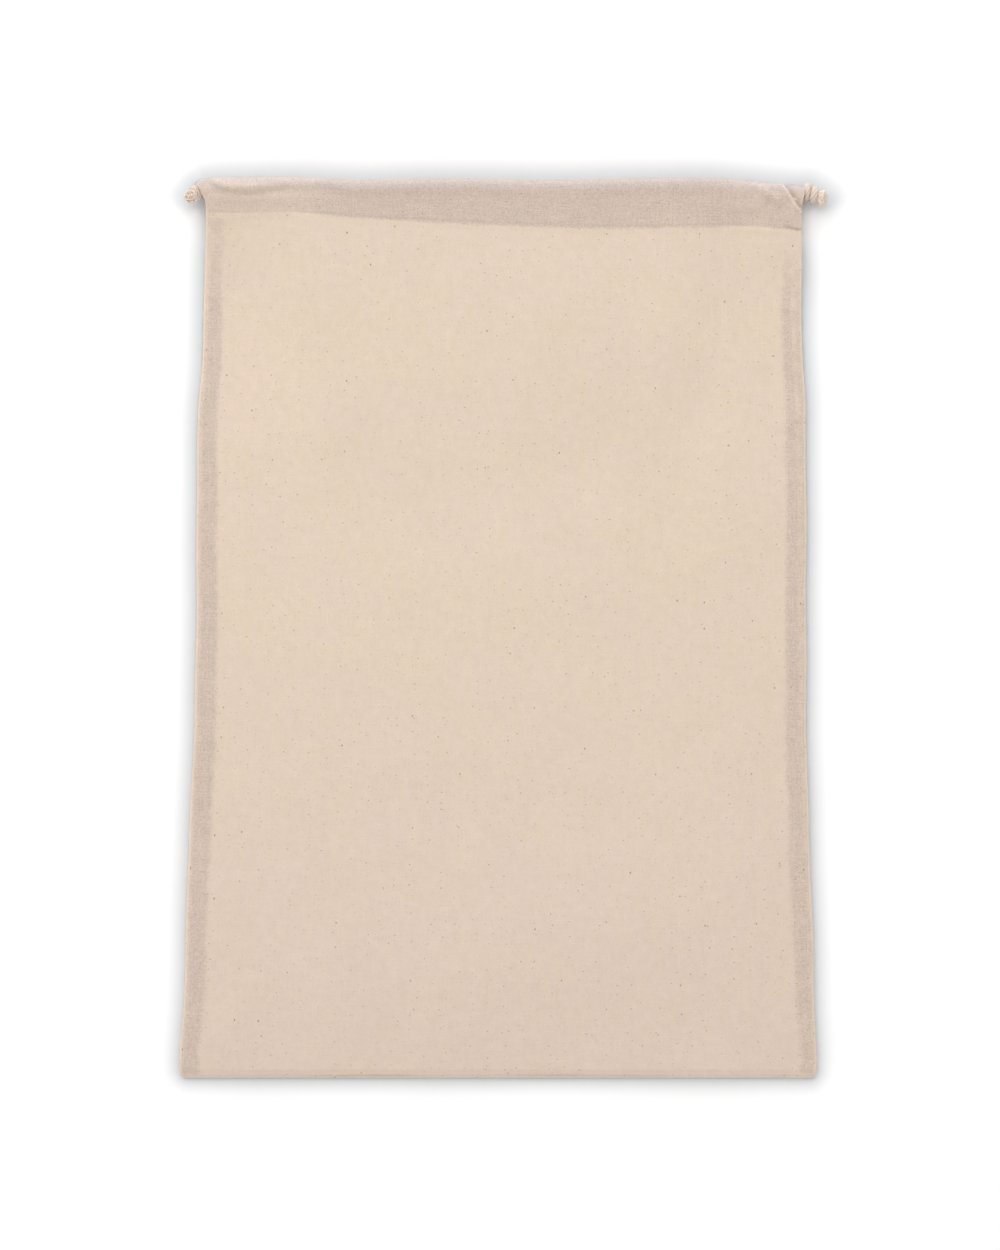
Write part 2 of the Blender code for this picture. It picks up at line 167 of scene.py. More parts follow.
class NodeBoard:  # builds one node tree
    def __init__(self, tree):
        self.tree = tree
        tree.nodes.clear()

    def add(self, kind, settings=None, inputs=None, output=0):
        node = self.tree.nodes.new(kind)
        for name, value in (settings or {}).items():
            if name == "stops":
                ramp = node.color_ramp
                while len(ramp.elements) < len(value):
                    ramp.elements.new(0.5)
                for element, (place, colour) in zip(ramp.elements, value):
                    element.position = place
                    element.color = (*colour, 1.0)
            else:
                setattr(node, name, value)
        for name, value in (inputs or {}).items():
            if isinstance(value, Wire):
                self.tree.links.new(value.socket, node.inputs[name])
            else:
                node.inputs[name].default_value = value
        return Wire(self, node.outputs[output]) if node.outputs else None

    def place(self):  # on the object itself, in metres
        return self.add("ShaderNodeTexCoord", output="Object")

    def attribute(self, name):
        return self.add("ShaderNodeAttribute", {"attribute_name": name}, output="Fac")

    def part(self, vector, axis):
        return self.add("ShaderNodeSeparateXYZ", None, {0: vector}, axis)

    def mix(self, share, colour, tone):  # a share of the tone laid over the colour
        colour = colour if isinstance(colour, Wire) else (*colour, 1.0)
        inputs = {0: share, 6: colour, 7: (*tone, 1.0)}
        return self.add("ShaderNodeMix", {"data_type": "RGBA"}, inputs, 2)

    def scaled(self, vector, factor):
        return self.add("ShaderNodeVectorMath", {"operation": "SCALE"}, {0: vector, "Scale": factor})

    def stretched(self, vector, factors, shift=(0.0, 0.0)):  # both on the flat
        inputs = {0: vector, 1: (*factors, 0.0), 2: (*shift, 0.0)}
        return self.add("ShaderNodeVectorMath", {"operation": "MULTIPLY_ADD"}, inputs)

    def noise(self, vector, scale, detail=2.0, roughness=0.5):
        inputs = {"Vector": vector, "Scale": scale, "Detail": detail, "Roughness": roughness}
        return self.add("ShaderNodeTexNoise", None, inputs, "Fac")

    def uneven(self, vector, scale, weight, detail=2.0, roughness=0.5):  # noise about 0
        return (self.noise(vector, scale, detail, roughness) - 0.5) * weight

    def streaks(self, vector, factors, shift):  # flat noise about 0, longer one way than the other
        return self.noise(self.stretched(vector, factors, shift), 1.0, 1.0) - 0.5

    def between(self, value, low, high):  # 0 at low, 1 at high, with level ends
        inputs = {"Value": value, "From Min": low, "From Max": high}
        return self.add("ShaderNodeMapRange", {"interpolation_type": "SMOOTHSTEP"}, inputs)

    def bump(self, height, strength, distance):
        inputs = {"Strength": strength, "Distance": distance, "Height": height}
        return self.add("ShaderNodeBump", None, inputs)

    def surface(self, inputs):
        shade = self.add("ShaderNodeBsdfPrincipled", None, inputs)
        self.add("ShaderNodeOutputMaterial", None, {"Surface": shade})


def newFinish(name):
    material = bpy.data.materials.new(name)
    material.use_nodes = True
    return material, NodeBoard(material.node_tree)


# camera and light

studio = {
    "lens": 135.0,
    "sensor": 36.0,
    "viewHeight": 0.625,  # what the camera takes in, top to bottom, at the bag's own height
    "middle": (0.0, 0.0018),
    "bagHeight": 0.004,
    "farthest": 30.0,
    "skyTop": 0.55,
    "skyRing": 1.62,  # the ring of soft light round the table
    "ring": (0.15, 0.75),  # sines of the ring's lower and upper height
    "lampPlace": (-0.28, 1.15, 1.22),
    "lampSize": 1.9,
    "lampPower": 20.1,
}

camera = addObject("camera", bpy.data.cameras.new("camera"))
camera.data.lens = studio["lens"]
camera.data.sensor_width = studio["sensor"]
distance = studio["viewHeight"] * studio["lens"] / studio["sensor"]
camera.location = (*studio["middle"], distance + studio["bagHeight"])
camera.data.clip_end = studio["farthest"]
scene.camera = camera
scene.view_settings.view_transform = "Standard"

world = bpy.data.worlds.new("softRoom")
world.use_nodes = True
scene.world = world
board = NodeBoard(world.node_tree)
height = board.part(board.add("ShaderNodeTexCoord", output="Generated"), "Z")
ring = 1 - board.between(height, *studio["ring"])
glow = studio["skyTop"] + (studio["skyRing"] - studio["skyTop"]) * ring
sky = board.add("ShaderNodeBackground", None, {"Color": (1.0, 1.0, 1.0, 1.0), "Strength": glow})
board.add("ShaderNodeOutputWorld", None, {"Surface": sky})

lamp = bpy.data.lights.new("softbox", "AREA")
lamp.size = studio["lampSize"]
lamp.energy = studio["lampPower"]
softbox = addObject("softbox", lamp)
softbox.location = studio["lampPlace"]
softbox.rotation_mode = "QUATERNION"
softbox.rotation_quaternion = (-Vector(studio["lampPlace"])).to_track_quat("-Z", "Y")

print("camera and light")


# unbleached calico

calico = {
    "threadPitch": 0.42,  # mm
    "sway": (0.03, 1.5, 1.1),  # bends the threads: noise per mm, how far each way
    "yarns": [  # uneven threads and short slubs: noise per mm each way, its shift, its weight
        ((1.3, 0.07), (0.0, 0.0), 0.48),
        ((0.07, 1.3), (5.0, 3.0), 0.48),
        ((1.9, 0.45), (0.0, 9.0), 0.85),
        ((0.45, 1.9), (2.0, 0.0), 0.85),
    ],
    "grain": (1.45, 1.5, 2.0, 0.6),  # of single yarns: noise per mm, weight, detail, roughness
    "wobble": (0.22, 0.6),  # of the doubled cloth's outline
    "doubledRange": (0.08, 0.92),
    "bodyTone": (0.668, 0.548, 0.432),
    "doubledTone": (0.552, 0.447, 0.376),  # where four layers lie on each other: the cloth's deeper colour there, with painted shade for the light that single cloth lets through
    "ridgeTone": (0.54, 0.462, 0.426),  # the top fold, darker and a little greyer than the body
    "pinkTone": (0.676, 0.541, 0.458),
    "fleckTone": (0.33, 0.235, 0.15),
    "slubTone": (0.86, 0.77, 0.67),
    "blotch": ((0.022, 0.022), (31.0, 11.0)),  # noise per mm each way, its shift
    "blotchRange": (-0.14, 0.14),
    "streak": ((0.16, 0.075), (12.0, 44.0)),
    "lowRange": (0.02, -0.19),  # y between which the cloth turns pinker
    "pink": (0.04, 0.28, 0.5, 1.4),  # everywhere, in blotches, low down, in streaks
    "doubledPale": 0.7,  # how much of the pink the doubled cloth lacks
    "threads": (0.098, 0.27),  # weight, with what doubled cloth adds
    "weave": (0.4, 0.1),  # its mean, weight
    "patches": [(0.2, 0.11), (0.035, 0.05, 1.0)],  # noise per mm, weight, detail
    "crowd": (0.06, 2.6, -0.3),  # where specks lie closer: noise per mm, gain, offset
    "crowdShift": (70.0, 20.0),
    "speckHeart": 0.6,  # share of a speck's radius that has its full tone
    "faintest": 0.25,
    "specks": [  # cell in mm, share of cells with one, radius in cells, strength, stretch, tone
        (8.3, 0.5, 0.034, 0.16, (0.35, 1.0), "slubTone"),
        (9.1, 0.5, 0.034, 0.16, (1.0, 0.4), "slubTone"),
        (3.2, 0.42, 0.086, 0.5, (1.0, 0.75), "fleckTone"),
        (6.0, 0.44, 0.06, 0.82, (0.8, 1.0), "fleckTone"),
        (12.0, 0.2, 0.04, 1.0, (1.0, 0.8), "fleckTone"),
    ],
    "relief": (0.5, 0.6),  # of the weave and of the threads
}


def calicoFinish():
    material, board = newFinish("calico")
    place = board.scaled(board.add("ShaderNodeUVMap", {"uv_map": "cut"}), 1000.0)  # mm, laid flat
    scale, *pushes = calico["sway"]
    x, y = (board.part(place, axis) + board.uneven(place, scale, push)
            for axis, push in zip("XY", pushes))
    turn = math.pi / calico["threadPitch"]
    weave = (x * turn).sine().size() * (y * turn).sine().size()
    threads = board.uneven(place, *calico["grain"])
    for factors, shift, weight in calico["yarns"]:
        threads = threads + board.streaks(place, factors, shift) * weight

    doubled = board.attribute("doubled")
    wobble = board.uneven(place, *calico["wobble"]) * doubled * (1 - doubled) * 4
    doubled = board.between(doubled + wobble, *calico["doubledRange"])
    # darker where the cloth lies doubled: its deeper colour, and painted shade for the light single
    # cloth lets through
    colour = board.mix(doubled, calico["bodyTone"], calico["doubledTone"])
    colour = board.mix(board.attribute("ridge"), colour, calico["ridgeTone"])
    low = board.between(board.part(board.place(), "Y"), *calico["lowRange"])
    blotch = board.between(board.streaks(place, *calico["blotch"]), *calico["blotchRange"])
    base, more, lower, streaky = calico["pink"]
    pink = blotch * more + low * lower + base + board.streaks(place, *calico["streak"]) * streaky
    colour = board.mix(pink * (1 - calico["doubledPale"] * doubled), colour, calico["pinkTone"])

    weight, more = calico["threads"]
    tone = 1.0 + threads * (weight + more * doubled)
    mean, weight = calico["weave"]
    # the painted light and shade of the front cloth, then the weave's own tone
    tone = tone + board.attribute("worn") + (weave - mean) * weight
    for patch in calico["patches"]:
        tone = tone + board.uneven(place, *patch)
    colour = board.scaled(colour, tone)

    # pale slubs and specks of seed husk
    shifted = board.stretched(place, (1.0, 1.0), calico["crowdShift"])
    scale, gain, offset = calico["crowd"]
    crowd = board.noise(shifted, scale, 1.0) * gain + offset
    for cell, part, reach, strength, stretch, kind in calico["specks"]:
        spot = board.stretched(place, stretch, (cell, 3 * cell))
        inputs = {"Vector": board.scaled(spot, 1 / cell), "Scale": 1.0}
        away = board.add("ShaderNodeTexVoronoi", {"voronoi_dimensions": "2D"}, inputs, "Distance")
        draw = board.add("ShaderNodeTexVoronoi", {"voronoi_dimensions": "2D"}, inputs, "Color")
        chance = board.add("ShaderNodeSeparateColor", None, {0: draw}, "Red")
        amount = board.add("ShaderNodeSeparateColor", None, {0: draw}, "Green")
        speck = (1 - board.between(away, reach * calico["speckHeart"], reach)) * (chance < crowd * part)
        share = speck * (calico["faintest"] + (1 - calico["faintest"]) * amount) * strength
        colour = board.mix(share, colour, calico[kind])

    fine, coarse = calico["relief"]
    relief = weave * (1 + threads) * fine + threads * coarse
    board.surface({
        "Base Color": colour,
        "Roughness": 0.86 + 0.1 * weave,
        "Normal": board.bump(relief, 0.3, 0.00012),
        "Specular IOR Level": 0.25,
        "Sheen Weight": 0.12,
        "Sheen Roughness": 0.5,
    })
    return material


calicoCloth = calicoFinish()


# the bag's shape: its outline and heights are those of its solid

bag = {
    "thickness": 0.0005,  # of the cloth
    "solidThickness": 0.001,
    "layerGap": 0.0004,
    "bottomY": -0.2248,
    "bottomRise": 0.003,
    "spread": (0.002, (0.0014, 0.0, 0.003)),  # between the walls: at the folded edge, then further in
    "allowance": 0.01,
    "tunnel": 0.0052,  # layer to layer over the cords
    "closing": (0.0014, 0.006),  # of the tunnel, from the lower cord down
    "ridge": 0.0006,  # of the outer layer over the upper cord
    "tent": (0.28, 0.32),  # shares of the outer layer's fall and way down, in its round start
    "innerSetback": 0.0075,  # of a turned-in layer from the casing's ends
    "hemTurn": 0.002,
    "crown": 0.0009,
    "crownFrom": 0.04,  # how far in from the allowances it is full
    "wave": 0.00035,
    "waves": [(0.121, 0.39, 0.6), (-0.33, 0.147, 1.9)],
    "edgeWobble": 0.00018,
    # lengths, and where they start: left, right
    "edgeWaves": [[(0.0097, 0.8), (0.0243, 2.0)], [(0.0108, 3.1), (0.0267, 0.4)]],
    "columns": 146,
    "casingRows": 58,
    "frontRows": 144,
    "backRows": 50,
    "foldRows": 8,
    "turnRows": (14, 10),  # over the front's top edge and the back's
    "turnedRows": [0.0, 0.18, 0.36, 0.54, 0.72, 0.88, 1.0, 1.1],  # shares of the way down the casing
    "seamTurns": 5,  # steps in half a turn round a side
    "insideColumns": [0.001, 0.005],  # of the allowances
    "foldRadius": (0.0005, 0.0004),  # at the sides, then at the casing's ends
    "gape": (0.078, 0.054),  # how far from the middle the mouth stands open, and shuts
    # at the casing's ends, then in its middle
    "mouth": (0.0006, 0.005),
    "casingDrop": (0.0026, 0.0003),
    "fall": (0.045, 0.14),
}

sideTable = [  # in mm: y, left edge, right edge
    (-224.8, -157.8, 156.2),
    (-222.2, -160.2, 158.3),
    (-190, -158.5, 157.5),
    (-116, -156, 155),
    (-66, -153.5, 153.7),
    (9, -152, 153),
    (109, -151, 153),
    (134, -149.2, 151.6),
    (184, -147.5, 150.5),
    (210, -146.7, 150.6),
    (214, -147, 151.4),
    (216.5, -148.6, 151.9),
    (220, -149.8, 151.9),
    (223.5, -151.3, 151.4),
]
mouthTable = [  # x, top edge, stitch line, depths of the upper and the lower cord
    (-150, 224.3, 207, 4.2, 8.6),
    (-140, 225, 207, 3.8, 8.8),
    (-105, 225.2, 207, 3.2, 9.2),
    (-70, 223.3, 204.5, 3.1, 8.4),
    (-35, 224.2, 202.5, 3.1, 7.8),
    (0, 223.8, 200.8, 3.1, 7.8),
    (30, 223.3, 199.8, 3.1, 7.8),
    (60, 224, 199.3, 3.1, 7.8),
    (105, 224.8, 200.2, 3.1, 7.8),
    (125, 223.3, 200, 3.1, 8),
    (140, 221.8, 199, 3.1, 8.2),
    (150, 221.2, 198.5, 3.1, 8.2),
]
topEdge, stitchLine, upperCord, lowerCord = (through(mouthTable, n) for n in range(1, 5))


def sideEdge(column, waves):
    line = through(sideTable, column)

    def at(y):
        return line(y) + bag["edgeWobble"] * sum(np.sin(y / length + start) for length, start in waves)

    return at


leftEdge, rightEdge = (sideEdge(n + 1, waves) for n, waves in enumerate(bag["edgeWaves"]))
solidHalf = bag["solidThickness"] / 2
closed = bag["solidThickness"] + bag["layerGap"]
foldMiddle = bag["tunnel"] / 2 + solidHalf


def gape(x):  # 1 where the mouth stands open
    return 1 - rise(np.abs(x), *bag["gape"])


def tunnelSpread(x, depth):  # between a casing's two layers
    return blend(bag["tunnel"], closed, rise(depth - lowerCord(x), *bag["closing"]))


def wayDown(x, depth, start):  # share of the way from a start down to the stitch line
    return np.clip((depth - start) / (topEdge(x) - stitchLine(x) - start), 0.0, 1.0)


def tentedSpread(x, depth):  # the outer layer runs from the upper cord down to the stitch line
    down = wayDown(x, depth, upperCord(x) + bag["ridge"])
    share, length = bag["tent"]
    eased = share * ease(down / length) + (1 - share) * down * (1 - (1 - down) ** 3)
    return blend(bag["tunnel"], closed, eased)


def frontInner(x, depth):
    opened = blend(*bag["mouth"], gape(x))
    level = solidHalf + bag["tunnel"] + bag["solidThickness"] + opened
    drop = blend(*bag["casingDrop"], gape(x))
    return level - drop * ease(wayDown(x, depth, lowerCord(x)))


def frontOuter(x, depth):
    return frontInner(x, depth) + tentedSpread(x, depth)


def fromSide(x, y):
    return np.minimum(x - leftEdge(y), rightEdge(y) - x)


def frontWall(x, y):  # the front layer's height under the casing
    edge = fromSide(x, y)
    spread = stepped(edge, *bag["spread"])
    waves = rolling(2 * np.pi * x, 2 * np.pi * y, bag["waves"])
    crown = bag["crown"] + bag["wave"] * waves
    spread = spread + rise(edge, bag["allowance"], bag["crownFrom"]) * crown
    lift = ease((y - bag["bottomY"] - solidHalf - closed / 2) / bag["bottomRise"])
    body = solidHalf + blend(closed, spread, lift)
    fall = blend(*bag["fall"], gape(x))
    nearMouth = 1 - ease((stitchLine(x) - y) / fall)
    return blend(body, frontOuter(x, topEdge(x) - stitchLine(x)), nearMouth)


def casingY(x, share):
    return blend(topEdge(x) - foldMiddle, stitchLine(x), share)


def panelY(x, share):
    return blend(stitchLine(x), bag["bottomY"] + solidHalf + closed / 2, share)


def turnedY(x, share):  # a little past the stitch line at the hem
    return casingY(x, share) if share <= 1 else stitchLine(x) - bag["hemTurn"]


def foldTurn(x, share):  # round the top edge: y, and how far above the fold's middle
    angle = math.pi * share
    y = topEdge(x) - foldMiddle + bag["tunnel"] / 2 * math.sin(angle)
    return y, bag["tunnel"] / 2 * math.cos(angle)


def frontTurned(x, share):
    y = turnedY(x, share)
    return y, frontInner(x, topEdge(x) - np.maximum(y, stitchLine(x)))


def frontFold(x, share):
    y, up = foldTurn(x, share)
    return y, frontInner(x, 0.0) + bag["tunnel"] / 2 + up


def frontCasing(x, share):
    y = casingY(x, share)
    return y, frontOuter(x, topEdge(x) - y)


def frontPanel(x, share):
    y = panelY(x, share)
    return y, frontWall(x, y)


def bottomFold(x, share):
    angle = math.pi * share
    y = bag["bottomY"] + solidHalf + closed / 2 * (1 - math.sin(angle))
    return y + 0 * x, solidHalf + closed / 2 * (1 + math.cos(angle)) + 0 * x


def backPanel(x, share):
    return panelY(x, share), solidHalf + 0 * x


def backCasing(x, share):
    return casingY(x, share), solidHalf + 0 * x


def backFold(x, share):
    y, up = foldTurn(x, share)
    return y, solidHalf + bag["tunnel"] / 2 - up + 0 * x


def backTurned(x, share):
    y = turnedY(x, share)
    return y, solidHalf + tunnelSpread(x, topEdge(x) - y)


def clothRows():  # from the front hem over the mouth, down the front, round the bottom and up the back
    setback, turned = bag["innerSetback"], bag["turnedRows"]
    frontTurns, backTurns = (np.linspace(0.0, 1.0, count)[1:-1] for count in bag["turnRows"])
    # closer together under the casing and at the bottom
    front = spaced(bag["frontRows"], lambda s: stepped(s, 0.9, (1.6, 0.0, 0.12), (-1.9, 0.97, 0.02)))
    rows = [(frontTurned, share, setback) for share in reversed(turned)]
    rows += [(frontFold, share, setback * float(ease(share))) for share in reversed(frontTurns)]
    rows += [(frontCasing, share, 0.0) for share in np.linspace(0.0, 1.0, bag["casingRows"])]
    rows += [(frontPanel, share, 0.0) for share in front[1:]]
    rows += [(bottomFold, share, 0.0) for share in np.linspace(0.0, 1.0, bag["foldRows"])[1:-1]]
    rows += [(backPanel, share, 0.0) for share in np.linspace(1.0, 0.0, bag["backRows"])]
    rows += [(backCasing, share, 0.0) for share in np.linspace(1.0, 0.0, bag["foldRows"])[1:]]
    rows += [(backFold, share, setback * float(ease(share))) for share in backTurns]
    rows += [(backTurned, share, setback) for share in turned]
    return rows


# creases, dimples and folds that the cloth keeps, laid on the front

folds = {
    "strokes": [  # in mm: points along it, width, height; then its painted tone, darker in creases and lighter on ridges
        ([(-145.5, 222.8), (-141.8, 219.7), (-137.5, 218.1), (-131, 217.1),
          (-124, 216.7), (-116, 217.8), (-106, 219.6)], 1.8, -0.7, -0.08),
        ([(-143, 222.4), (-137, 220.8), (-128, 220), (-118, 221)], 1.6, 0.5, 0.04),
        ([(-100, 219.6), (-88, 219), (-79, 219.2)], 1.8, -0.3, -0.03),
        ([(-150, 222.6), (-149.2, 218.5), (-147.8, 215)], 0.8, -0.5, -0.03),
        ([(127, 220.8), (132, 218), (138, 214.2)], 1.6, 0.7, 0.035),
        ([(134.5, 212.2), (140, 209.8)], 3, -1.2, -0.045),
        ([(135, 218.6), (139.5, 218.3)], 1.1, -0.3, -0.06),
        ([(142.8, 200.8), (146.5, 199.8), (150.5, 198.7)], 0.9, -0.7, -0.07),
        ([(113, 211), (123, 209)], 3, 0.3, 0),
        ([(20, 215), (42, 214)], 3, 0.3, 0.01),
        ([(-50, 212.5), (-30, 211.8)], 2.6, -0.2, -0.01),
        # long soft swells and troughs of the body
        ([(-126, 194), (-102, 150), (-88, 95)], 11, 0.7, 0),
        ([(-70, 190), (-56, 135), (-62, 70)], 13, -0.5, 0),
        ([(26, 186), (16, 125), (34, 60)], 16, 0.6, 0),
        ([(130, 186), (118, 140), (114, 70)], 12, 0.7, 0),
        ([(80, 70), (64, 10), (70, -60)], 15, -0.5, 0),
        ([(-112, 35), (-90, -15), (-96, -80)], 14, 0.6, 0),
        ([(-25, -25), (5, -75), (-10, -140)], 17, 0.6, 0),
        ([(-140, -206), (-116, -172), (-102, -125)], 10, 0.7, 0),
        ([(140, -204), (112, -166), (98, -115)], 11, 0.7, 0),
        ([(-54, -212), (-45, -170), (-56, -125)], 13, -0.5, 0),
        ([(50, -212), (56, -170), (44, -130)], 12, 0.5, 0),
    ],
    "tuck": [(0.1399, 0.2232), (0.1441, 0.2162), (0.149, 0.209)],  # the casing's right corner
    "tuckFrom": (0.2075, 0.002),  # y from which it is pressed in, length
    "tuckReach": 0.02,
    "tuckDrop": 0.002,
    "tuckStep": 0.0008,
    "tuckRest": 0.25,  # share of the drop that stays beyond it
    "tuckRelax": 0.0034,
    "lipReach": 0.003,
    # soft lines: how much, how far past the line or edge, width
    "tuckLip": (0.0005, -0.0003, 0.0006),
    "stitchDitch": (-0.00022, 0.001, 0.0007),
    "pucker": (0.00022, 0.0045, 0.0035),  # of the cloth along its side seams
    "puckerTop": (0.185, 0.02),
    "puckerSway": (0.0029, 1.6, 0.012),  # wave length, sway, its length
    "hemStep": 0.00022,
    "hemFrom": (-0.0022, 0.0012),  # from the stitch line up
    "hemFade": (-0.03, 0.02),
    "rippleFrom": (0.006, 0.03),  # from the side edges in
    "ripple": 0.00006,
    "rippleAcross": (0.0081, 1.3, 0.021),
    "rippleAlong": (0.0127, 1.1, 0.019),
    "slow": 0.00022,
    "slowWaves": [(0.019, 0.047, 1.0), (-0.055, 0.016, 0.0)],
    "leftEnd": (-0.118, 0.045),  # x at which the casing's left end fades out, length
}
paintedShares = {  # painted light and shade, as shares of the cloth's own tone
    # soft lines: how much, how far past the line or edge, width
    # painted highlight on the tuck's folded lip, painted shade in the hollow beside it
    "tuckCrest": (0.18, -0.0001, 0.00055),
    "tuckHollow": (-0.17, 0.0009, 0.002),
    # painted highlight on the side edges, painted shade along the side seams, painted highlight along
    # the bottom fold
    "sideEdge": (0.05, 0.0, 0.0014),
    "sideSeam": (-0.035, 0.0016, 0.0003),
    "bottom": (0.06, 0.003, 0.0011),
    # painted shade along the top edge, wider at its left end, and in the ditch by the stitch line
    "top": (-0.17, 0.0, 0.0013),
    "topAtLeft": (-0.05, 0.0015, 0.003),
    "ditch": (-0.035, 0.001, 0.0006),
    "ditchLess": 0.8,  # at the casing's left end
    "rightEdge": 0.4,  # share of the left side edge's light
    "underCasing": [(-0.001, -0.003), (0.002, 0.006)],  # start, length: each with the left end's share
    # levels, then changes: how much, from where, over what length
    # lighter over the casing at its left end and towards its right end
    "casingLight": (0.105, (-0.105, -0.118, 0.045), (0.02, 0.06, 0.03), (0.045, 0.108, 0.02)),
    "shelter": (0.067, (-0.045, -0.15, 0.08)),  # the painted shade under the casing
    "shelterDown": 0.032,
    # painted shade: darker low down on the bag
    "low": (-0.02, (0.02, -0.2, 0.075)),
}


def leftEnd(x):  # 1 at the casing's left end
    return 1 - rise(x, *folds["leftEnd"])


def tuck(x, y, reach):  # how far past the tuck's line, and 1 where it is pressed in
    away, side = alongStroke(x, y, folds["tuck"])
    return side, rise(y, *folds["tuckFrom"]) * (away < reach)


def softLine(distance, amount, place, width):
    return amount * bell(distance - place, width)


def swaying(along, across, length, sway, over):  # a wave that winds from side to side
    return along / length + sway * np.sin(across / over)


strokes = [(np.array(points) / 1000, width / 1000, height / 1000, tone)
           for points, width, height, tone in folds["strokes"]]


def alongStroke(x, y, points):  # distance from a line through the points, and on which side of it
    away = np.full(np.shape(x), 9.0)
    side = np.zeros(np.shape(x))
    for (ax, ay), (bx, by) in zip(points, points[1:]):
        length = math.hypot(bx - ax, by - ay)
        dx, dy = (bx - ax) / length, (by - ay) / length
        t = np.clip((x - ax) * dx + (y - ay) * dy, 0.0, length)
        gap = np.hypot(x - ax - dx * t, y - ay - dy * t)
        nearer = gap < away
        away = np.where(nearer, gap, away)
        side = np.where(nearer, (y - ay) * dx - (x - ax) * dy, side)
    return away, side


def frontRelief(x, y):  # how far the front cloth stands out of its plain shape
    out = np.zeros(np.shape(x))
    for points, width, height, _ in strokes:
        out += height * bell(alongStroke(x, y, points)[0], width)
    side, pressed = tuck(x, y, math.inf)
    relaxed = np.exp(-np.maximum(side - folds["tuckStep"], 0.0) / folds["tuckRelax"])
    rest = blend(folds["tuckRest"], 1.0, relaxed)
    out -= folds["tuckDrop"] * ease(side / folds["tuckStep"]) * pressed * rest
    out += softLine(side, *folds["tuckLip"]) * tuck(x, y, folds["lipReach"])[1]
    up = y - stitchLine(x)  # of the row of stitches, with the hem's edge under it
    out += softLine(up, *folds["stitchDitch"])
    out -= folds["hemStep"] * (1 - rise(up, *folds["hemFrom"])) * rise(up, *folds["hemFade"])
    edge = fromSide(x, y)
    drawn = np.sin(swaying(y, y, *folds["puckerSway"]) + np.where(x < 0, 0.0, 2.0))
    out += softLine(edge, *folds["pucker"]) * drawn * (1 - rise(y, *folds["puckerTop"]))
    ripple = np.sin(swaying(x, y, *folds["rippleAcross"]))
    ripple = ripple * np.sin(swaying(y, x, *folds["rippleAlong"]))
    uneven = folds["ripple"] * ripple + folds["slow"] * rolling(x, y, folds["slowWaves"])
    return out + rise(edge, *folds["rippleFrom"]) * uneven


def paintedLightAndShade(x, y):  # painted light on ridges and edges, painted shade in creases, hollows, under the casing and low down; lighter over parts of the casing
    out = np.zeros(np.shape(x))
    # painted shade along creases, painted highlight along ridges
    for points, width, _, tone in strokes:
        out += tone * bell(alongStroke(x, y, points)[0], width)
    # painted highlight on the tuck's lip, painted shade in its hollow
    side, pressed = tuck(x, y, folds["tuckReach"])
    out += softLine(side, *paintedShares["tuckCrest"]) * pressed
    hollow = paintedShares["tuckHollow"][1]
    out += softLine(np.maximum(side, hollow), *paintedShares["tuckHollow"]) * ease(side / hollow) * pressed
    edge, down = fromSide(x, y), topEdge(x) - y
    # painted highlight on the side edges and the bottom fold, painted shade along the seams, the top
    # edge and the stitch ditch
    out += softLine(edge, *paintedShares["sideEdge"]) * np.where(x < 0, 1.0, paintedShares["rightEdge"])
    out += softLine(edge, *paintedShares["sideSeam"]) + softLine(y - bag["bottomY"], *paintedShares["bottom"])
    left, below = leftEnd(x), stitchLine(x) - y
    out += softLine(down, *paintedShares["top"]) + softLine(down, *paintedShares["topAtLeft"]) * left
    out += softLine(-below, *paintedShares["ditch"]) * (1 - paintedShares["ditchLess"] * left)
    # painted shade under the casing and low down; lighter over the casing at its ends
    start, length = (plain + more * left for plain, more in paintedShares["underCasing"])
    under = rise(below, start, length)
    out -= stepped(x, *paintedShares["shelter"]) * bell(np.maximum(below, 0.0), paintedShares["shelterDown"]) * under
    return out + stepped(y, *paintedShares["low"]) + stepped(x, *paintedShares["casingLight"]) * (1 - under)


# the cloth itself

bandTable = [  # y, then how far in the allowances start and end: left side, right side
    (-216, 1.6, 10.4, 2.2, 9),
    (-136, 2, 11.2, 3, 10.8),
    (14, 2.6, 10.8, 4.2, 10.8),
    (164, 3, 9.8, 5.6, 10.4),
    (204, 2.6, 9.8, 6, 10),
]
doubling = {
    "bandTop": (0.214, 0.196),  # y, at the left side and at the right
    "bandTopFade": 0.012,
    # where a shade starts to show, and over what length
    "bandBottom": (0.0005, 0.003),
    "bandStart": (-0.001, 0.002),
    "bandEnd": (-0.003, 0.0056),
    "roll": (0.0002, 0.0012),  # the seam's own roll
    "rollShare": 0.72,
    "band": (0.82, (-0.42, 0.15, 0.04), (0.1, -0.225, 0.1)),  # level, then changes up the bag
    "rightLess": 0.1,
    "casingSag": 0.0055,  # of the casing's shade at its left end
    "casingDip": (0.0018, 0.13, 0.012),  # how much higher it starts by the tuck, x, width
    "casingFrom": -0.0016,
    "casingFade": (0.0028, 0.0122),  # length, with what the left end adds
    "casingLess": 0.07,
    "tuckLess": 0.5,
    "tuckStep": 0.0012,
    "topFold": (0.0022, 0.0042),  # depths under the top edge
}


